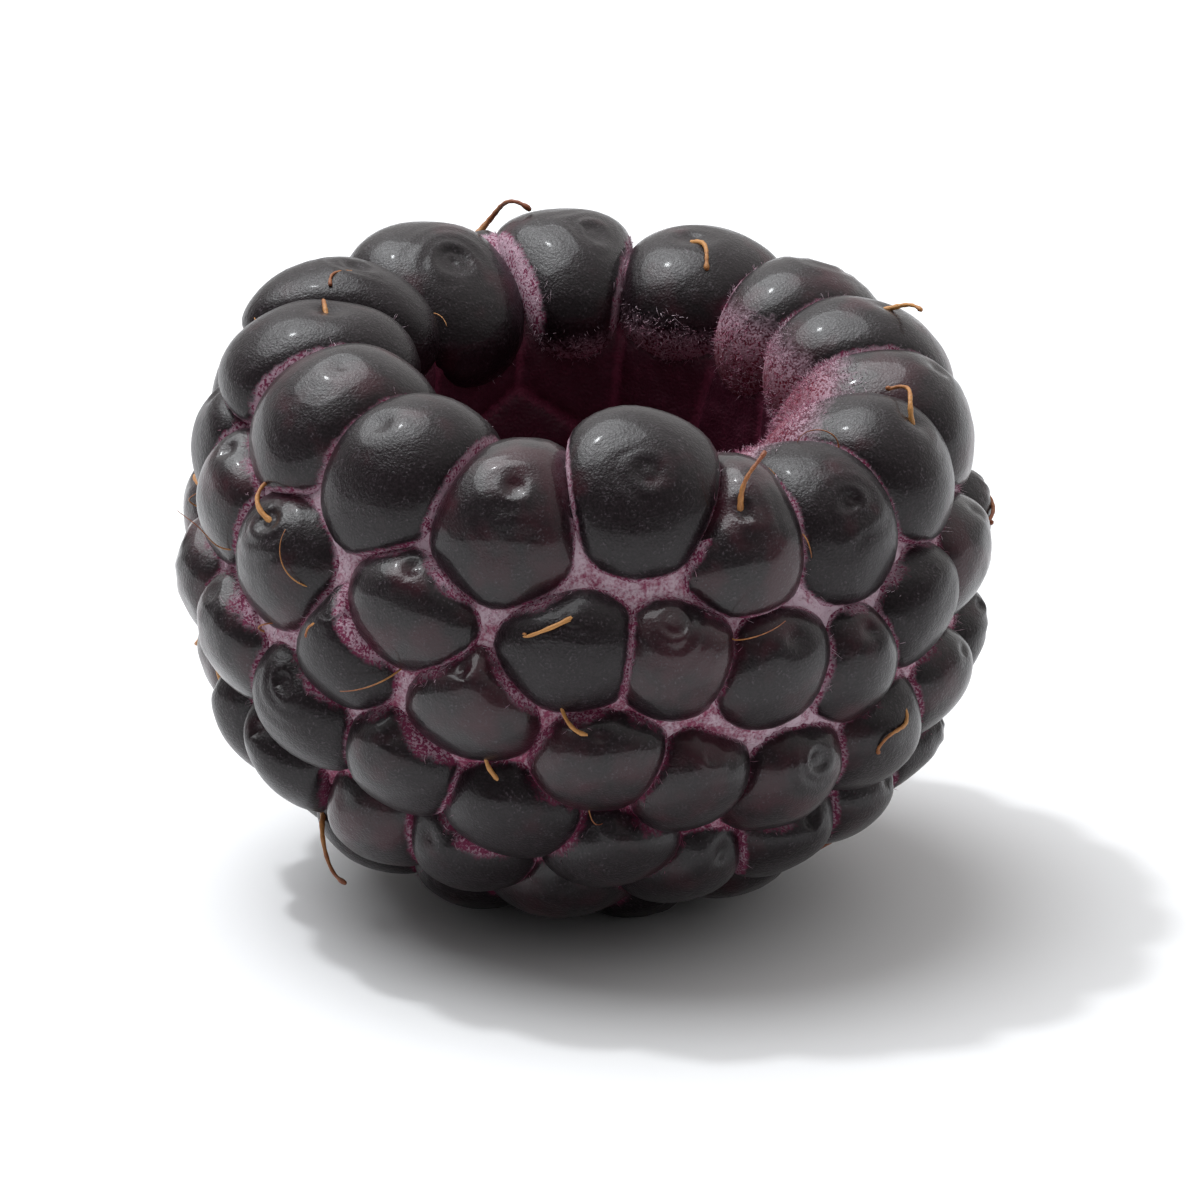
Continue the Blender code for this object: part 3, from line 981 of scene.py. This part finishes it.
class Finish:
    """A material, and the method that adds nodes to it."""

    def __init__(self, name):
        self.material = bpy.data.materials.new(name)
        self.material.use_nodes = True
        self.tree = self.material.node_tree
        self.shader = self.tree.nodes["Principled BSDF"]

    def add(self, kind, settings=None, sockets=None, out=0):
        """Adds a node: its settings first, then the values or links of its sockets."""
        node = self.tree.nodes.new(kind)
        for key, value in (settings or {}).items():
            setattr(node, key, value)
        for key, value in (sockets or {}).items():
            self.plug(node.inputs[key], value)
        return Wire(self, node.outputs[out])

    def plug(self, socket, value):
        """Links a wire to a socket, or sets the socket to a value."""
        if isinstance(value, Wire):
            self.tree.links.new(value.socket, socket)
        else:
            socket.default_value = value

    def attribute(self, name):
        """The value that each point of the mesh carries under this name."""
        return self.add("ShaderNodeAttribute", {"attribute_name": name}, out=2)

    def noise(self, size, detail=3.0, roughness=0.5):
        """Noise from 0 to 1 with features of about size mm."""
        place = self.add("ShaderNodeTexCoord", out=3)
        sockets = {"Vector": place, "Scale": 1 / (size * MM), "Detail": detail, "Roughness": roughness}
        return self.add("ShaderNodeTexNoise", {}, sockets)

    def ramp(self, value, low, high):
        """0 below low, 1 above high and a smooth step between."""
        sockets = {"Value": value, "From Min": low, "From Max": high}
        return self.add("ShaderNodeMapRange", {"interpolation_type": "SMOOTHSTEP"}, sockets)

    def blend(self, share, first, second):
        """The first colour where share is 0, the second where it is 1."""
        return self.add("ShaderNodeMix", {"data_type": "RGBA"}, {0: share, 6: first, 7: second}, 2)

    def bump(self, height, depth, below=None):
        """A bump depth mm high, on top of another bump if one is given."""
        sockets = {"Height": height, "Distance": depth * MM, "Strength": 1.0}
        if below:
            sockets["Normal"] = below
        return self.add("ShaderNodeBump", {}, sockets)

    def set(self, **sockets):
        """Sets the shader's sockets, whose names are given with _ for a space."""
        for key, value in sockets.items():
            self.plug(self.shader.inputs[key.replace("_", " ")], value)

    def cover(self, *pieces):
        """Gives the pieces this material."""
        for piece in pieces:
            piece.data.materials.append(self.material)


def colour(red, green, blue):
    """An opaque colour, with its parts as light, not as screen values."""
    return (red, green, blue, 1.0)


# %% [markdown]
# ## The skin
#
# A ripe drupelet is so dark a purple that it reads as black, and what the eye goes by is its gloss. The
# skin is waxy: a soft sheen with a thin clear gloss over it. Thin places glow burgundy. Close to the
# seams and down in the mouth the purple gives way to magenta and then to a pale pink bloom of felt,
# whose edge is ragged, so the share that says how far it reaches has noise added before it is cut off.
# Further down in the mouth the magenta is painted darker, towards wine, and the lilac thins out: this
# is painted shade, standing for the shade deep in the hollow. Each ramp's range holds the values
# between which it goes from 0 to 1: millimetres for the seam, for the mouth with its painted shade
# and for the deepest painted shade, and noise for the rest.

# %% The drupelets' finish
SKIN_BLACK = colour(0.0050, 0.0021, 0.0032)
SKIN_GREY = colour(0.0135, 0.0080, 0.0105)
SKIN_BURGUNDY = colour(0.038, 0.006, 0.012)
SKIN_DUST = colour(0.070, 0.056, 0.066)
MAGENTA = colour(0.17, 0.022, 0.065)
LILAC = colour(0.56, 0.40, 0.48)
# painted shade: the dark wine that the mouth's magenta turns to further down in the hollow
SHADE_WINE = colour(0.13, 0.006, 0.022)

GREY_RANGE = (0.35, 0.65)
BURGUNDY_RANGE = (0.62, 0.86)
SPECK_RANGE = (0.57, 0.70)
SPECK_PATCH_RANGE = (0.43, 0.63)
FUZZ_RANGE = (0.42, 0.62)
SEAM_RANGE = (0.01, 0.10)
# millimetres of sink where the mouth's colour starts and darkens into painted shade, and where the lilac
# thins out as painted shade
MOUTH_AND_SHADE_RANGE = (2.15, 3.0)
DEEP_SHADE_RANGE = (2.5, 3.7)

skin = Finish("drupelet_skin")
fine = skin.noise(0.05, detail=2.0)
medium = skin.noise(0.22)
broad = skin.noise(1.1)
tone = skin.attribute("tone")
sunk = skin.attribute("sink")
risen = BLOOM_RISE * skin.attribute("bloom")

burgundy = skin.ramp(broad + 0.25 * tone, *BURGUNDY_RANGE)
specks = skin.ramp(fine, *SPECK_RANGE) * skin.ramp(medium, *SPECK_PATCH_RANGE)
ragged = 0.35 * (medium - 0.5) + 0.25 * (fine - 0.5)
near_seam = 1 - skin.ramp(skin.attribute("to_felt") + 0.4 * ragged, *SEAM_RANGE)
# where the mouth's magenta starts, and how far it is painted darker towards wine as painted shade; the next
# line thins the lilac fuzz deepest down, also painted shade
mouth_and_shade = skin.ramp(sunk + 1.6 * ragged + risen, *MOUTH_AND_SHADE_RANGE)
deepest = skin.ramp(sunk + 1.2 * ragged + risen, *DEEP_SHADE_RANGE)
pink = mouth_and_shade.maths("MAXIMUM", near_seam, mouth_and_shade)
fuzz = skin.ramp(fine + 0.5 * (medium - 0.5) + 0.2 * (skin.attribute("pale") - 0.5), *FUZZ_RANGE)

paint = skin.blend(skin.ramp(fine, *GREY_RANGE), SKIN_BLACK, SKIN_GREY)
paint = skin.blend(0.8 * burgundy, paint, SKIN_BURGUNDY)
paint = skin.blend(0.75 * specks, paint, SKIN_DUST)
# magenta, painted darker towards wine deeper in the mouth as painted shade
under_fuzz = skin.blend(mouth_and_shade, MAGENTA, SHADE_WINE)
paint = skin.blend(pink, paint, skin.blend(fuzz * (0.75 - 0.55 * deepest), under_fuzz, LILAC))
relief = skin.bump(skin.noise(0.35, detail=4.0, roughness=0.6), 0.024)
relief = skin.bump(fine, 0.015, relief)
skin.set(
    Base_Color=paint,
    Roughness=0.36 + 0.14 * (medium - 0.5) + 0.40 * pink,
    IOR=1.34,
    Coat_Weight=(0.10 + 0.40 * tone) * (1 - pink),
    Coat_Roughness=0.08,
    Normal=relief,
)
skin.cover(*drupelet_pieces)
print("the skin's finish has", len(skin.tree.nodes), "nodes")

# %% [markdown]
# ## Felt and lining
#
# The felt outside is pink to lilac and quite matt. The lining inside is painted a deep burgundy, much
# darker than the felt, as painted shade for the shade in the hollow, and paler along the quilting
# between the roots.

# %% The flesh's finish
FELT_PINK = colour(0.25, 0.040, 0.095)
FELT_LILAC = colour(0.56, 0.42, 0.49)
# painted shade: the hollow's lining is painted dark burgundy for the shade there, paler pink along the
# quilting
SHADED_LINING_DARK = colour(0.060, 0.006, 0.020)
SHADED_LINING_PINK = colour(0.20, 0.032, 0.075)

FELT_RANGE = (0.38, 0.64)
LINING_RANGE = (0.2, 0.8)
INSIDE_RANGE = (0.3, 0.7)
QUILT_RANGE = (0.2, 0.8)

felt = Finish("seam_felt")
fine = felt.noise(0.06)
medium = felt.noise(0.30)
inside = felt.ramp(felt.attribute("inside"), *INSIDE_RANGE)
between_roots = 1 - felt.ramp(felt.attribute("quilt"), *QUILT_RANGE)
pale_share = 0.5 * fine + 0.5 * medium + 0.35 * (felt.attribute("pale") - 0.5)
outer = felt.blend(felt.ramp(pale_share, *FELT_RANGE), FELT_PINK, FELT_LILAC)
pink_share = 0.35 * between_roots + 0.5 * fine + 0.5 * (medium - 0.5)
# the lining's colour: dark burgundy as painted shade, paler along the quilting between the roots
inner = felt.blend(felt.ramp(pink_share, *LINING_RANGE), SHADED_LINING_DARK, SHADED_LINING_PINK)
felt.set(
    Base_Color=felt.blend(inside, outer, inner),
    Roughness=0.85 - 0.35 * inside,
    Normal=felt.bump(fine, 0.03),
)
felt.cover(flesh)

# %% The hairs' finish
HAIR_PINK = colour(0.34, 0.07, 0.15)
HAIR_LILAC = colour(0.62, 0.49, 0.56)

down = Finish("felt_hair")
down.set(Base_Color=down.blend(down.attribute("tint"), HAIR_PINK, HAIR_LILAC), Roughness=0.6)
down.cover(felt_hairs, edge_hairs, mouth_hairs)

# %% The styles' finish
STRAW = colour(0.50, 0.23, 0.065)
RUST = colour(0.22, 0.055, 0.016)
RUST_RANGE = (0.2, 0.9)

dried = Finish("dried_style")
rusty = dried.attribute("way") * 0.5 + 0.5 * dried.attribute("tint") + 0.6 * (dried.noise(0.15) - 0.5)
dried.set(
    Base_Color=dried.blend(dried.ramp(rusty, *RUST_RANGE), STRAW, RUST),
    Roughness=0.55,
    Normal=dried.bump(dried.noise(0.05), 0.02),
)
dried.cover(styles, threads)
print("materials:", sorted(m.name for m in bpy.data.materials))

# %% [markdown]
# ## Table and light
#
# The berry lies on a white table under two lights that hang in one place, above it, to the left and a
# little behind: a wide one for the soft grey patches on the skin and a small one for the sparks. Both are
# a little blue and the sky is a little warm. The sky is like a tent of white cloth that is open on the
# camera's side: bright overhead and behind, where it fills the shadow, and dim in front. The dim side
# leaves a black band across each drupelet, over the grey that it picks up from the table.

# %% The table
TABLE_SIZE = 3000.0
TABLE_WHITE = colour(0.86, 0.86, 0.87)

corners = np.array([[-1, -1, 0], [1, -1, 0], [1, 1, 0], [-1, 1, 0]]) * TABLE_SIZE / 2 * MM
table_mesh = bpy.data.meshes.new("table")
table_mesh.from_pydata(corners.tolist(), [], [(0, 1, 2, 3)])
table = bpy.data.objects.new("table", table_mesh)
bpy.context.scene.collection.objects.link(table)
white = Finish("table_white")
white.set(Base_Color=TABLE_WHITE, Roughness=0.7)
white.cover(table)

# %% The lights
KEY_DIRECTION = unit(np.array([-0.36, 0.26, 0.90]))
KEY_DISTANCE = 500.0
KEY_COLOUR = (0.95, 0.98, 1.0)


def lamp(name, size, power):
    """A round lamp, size mm wide, that looks at the berry from the key direction."""
    light = bpy.data.lights.new(name, "AREA")
    light.shape = "DISK"
    light.size = size * MM
    light.energy = power
    light.color = KEY_COLOUR
    holder = bpy.data.objects.new(name, light)
    holder.location = (aim + KEY_DISTANCE * KEY_DIRECTION) * MM
    yaw = math.atan2(KEY_DIRECTION[1], KEY_DIRECTION[0])
    holder.rotation_euler = (0.0, math.acos(KEY_DIRECTION[2]), yaw)
    bpy.context.scene.collection.objects.link(holder)


lamp("wide_lamp", size=540.0, power=2.45)
lamp("spark_lamp", size=34.0, power=0.82)

# %% The sky
SKY_BRIGHTEST = unit(np.array([0.25, 0.60, 0.76]))
SKY_FULL_AT = 0.80
SKY_DIM = colour(0.14, 0.14, 0.14)
SKY_BRIGHT = colour(0.86, 0.85, 0.84)

world = bpy.data.worlds.new("pale_sky")
bpy.context.scene.world = world
world.use_nodes = True
nodes, links = world.node_tree.nodes, world.node_tree.links
place = nodes.new("ShaderNodeTexCoord")
towards_brightest = nodes.new("ShaderNodeVectorMath")
towards_brightest.operation = "DOT_PRODUCT"
towards_brightest.inputs[1].default_value = SKY_BRIGHTEST
ramp = nodes.new("ShaderNodeValToRGB")
ramp.color_ramp.elements[0].color = SKY_DIM
ramp.color_ramp.elements[1].position = SKY_FULL_AT
ramp.color_ramp.elements[1].color = SKY_BRIGHT
links.new(place.outputs["Generated"], towards_brightest.inputs[0])
links.new(towards_brightest.outputs["Value"], ramp.inputs[0])
links.new(ramp.outputs[0], nodes["Background"].inputs["Color"])
bpy.context.scene.view_settings.view_transform = "Standard"
print("two lamps", KEY_DISTANCE, "mm from the berry, and a sky of", len(nodes), "nodes")
